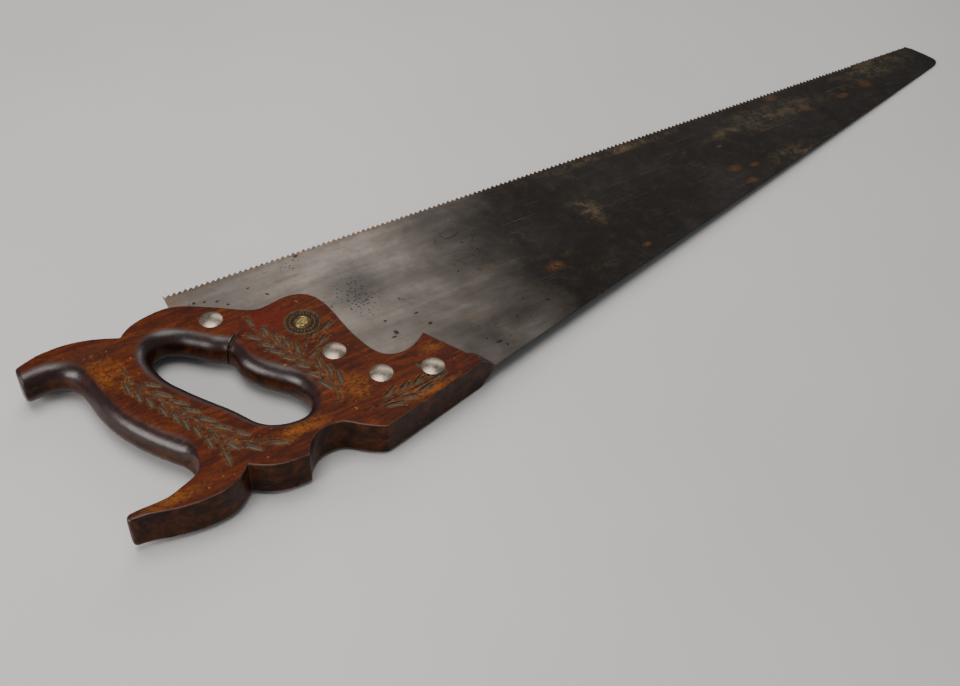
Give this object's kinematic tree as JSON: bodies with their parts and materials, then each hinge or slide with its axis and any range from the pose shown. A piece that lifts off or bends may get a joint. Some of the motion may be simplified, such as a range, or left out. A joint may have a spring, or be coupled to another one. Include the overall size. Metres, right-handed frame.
{
  "type": "hand saw",
  "caption": "Crosscut hand saw: a long tapered toothed steel plate in a slotted, carved hardwood handle, held by domed screws and a medallion.",
  "frame": {"origin": "middle of the whole saw's box in plan, on the plane of the handle's underside", "axes": "+X along the tooth line from heel to toe, +Y from the saw's back towards the teeth, +Z out of the face with the medallion"},
  "size_m": [0.7632, 0.1682, 0.0235],
  "materials": {
    "plate_steel": "aged steel, bright near the handle and brown with patina towards the toe",
    "handle_wood": "old red-brown varnish, worn at the edges",
    "screw_silver": "satin domed nickel silver",
    "nut_silver": "dull nickel silver",
    "medallion_brass": "worn brass with dirt round the beads"
  },
  "bodies": {
    "root": {"saw_plate": "plate_steel", "handle": "handle_wood", "screw_1": "screw_silver", "nut_1": "nut_silver", "screw_2": "screw_silver", "nut_2": "nut_silver", "screw_3": "screw_silver", "nut_3": "nut_silver", "screw_4": "screw_silver", "nut_4": "nut_silver", "medallion_screw": "medallion_brass", "nut_5": "nut_silver"}
  },
  "joints": []
}
